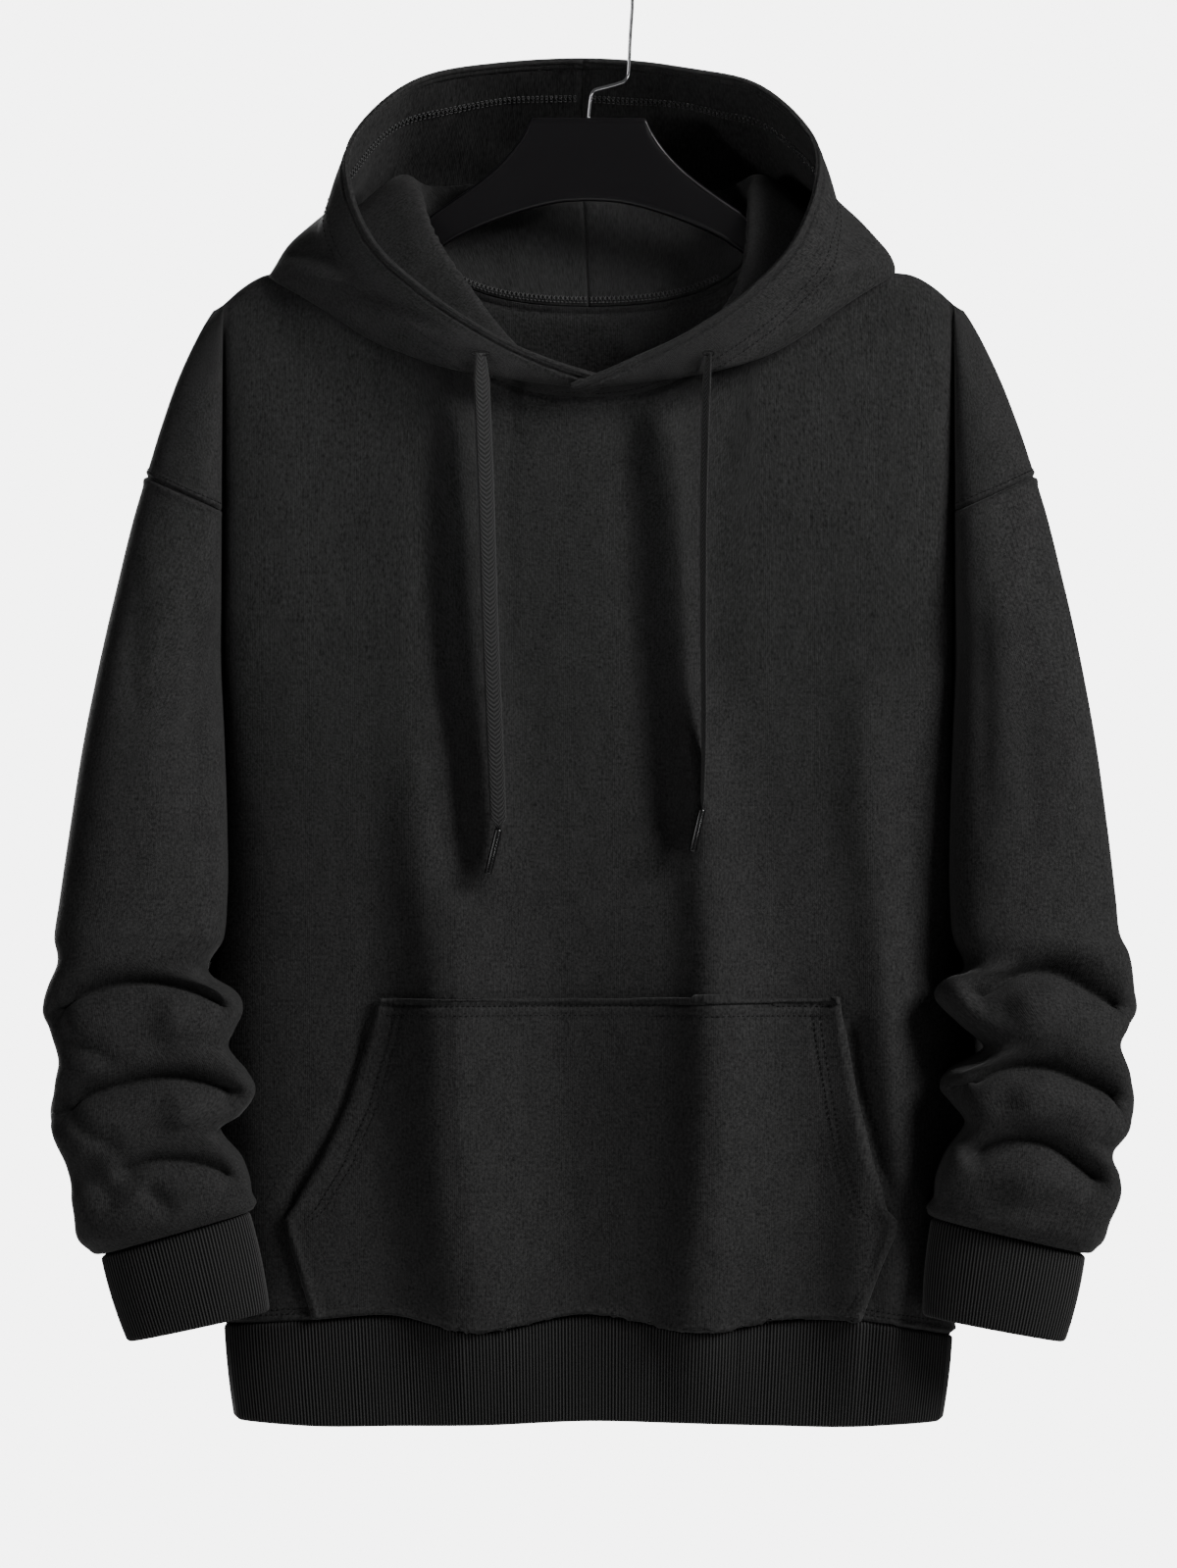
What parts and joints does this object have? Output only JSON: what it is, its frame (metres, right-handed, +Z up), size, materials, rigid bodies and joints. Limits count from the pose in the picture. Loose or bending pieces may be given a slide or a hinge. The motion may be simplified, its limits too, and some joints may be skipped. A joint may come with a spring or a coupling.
{
  "type": "pullover hoodie on a hanger",
  "caption": "Pullover hooded sweatshirt hanging on a moulded hanger with a wire hook; open hood, front pocket, flat drawcords, ribbed hem and cuffs.",
  "frame": {"origin": "the inner top of the wire hook, where a rail carries it, in the hanger's middle plane", "axes": "+Z up; +X towards the right as seen from the front; the hoodie's front faces -Y"},
  "size_m": [0.6678, 0.2053, 0.9072],
  "materials": {
    "fleece": "black heather knit fleece, matt with a soft nap",
    "rib_knit": "black rib knit, matt",
    "cord_braid": "black flat woven cord",
    "tip_plastic": "glossy black",
    "hanger_plastic": "satin black",
    "hook_chrome": "bright polished wire"
  },
  "bodies": {
    "root": {"front": "fleece", "back": "fleece", "sleeve_left": "fleece", "sleeve_right": "fleece", "hood_left": "fleece", "hood_right": "fleece", "pocket": "fleece", "cuff_left": "rib_knit", "cuff_right": "rib_knit", "hem_rib": "rib_knit", "drawcord_left": "cord_braid", "drawcord_right": "cord_braid", "aglet_left": "tip_plastic", "aglet_right": "tip_plastic", "hanger": "hanger_plastic", "hook": "hook_chrome"}
  },
  "joints": []
}
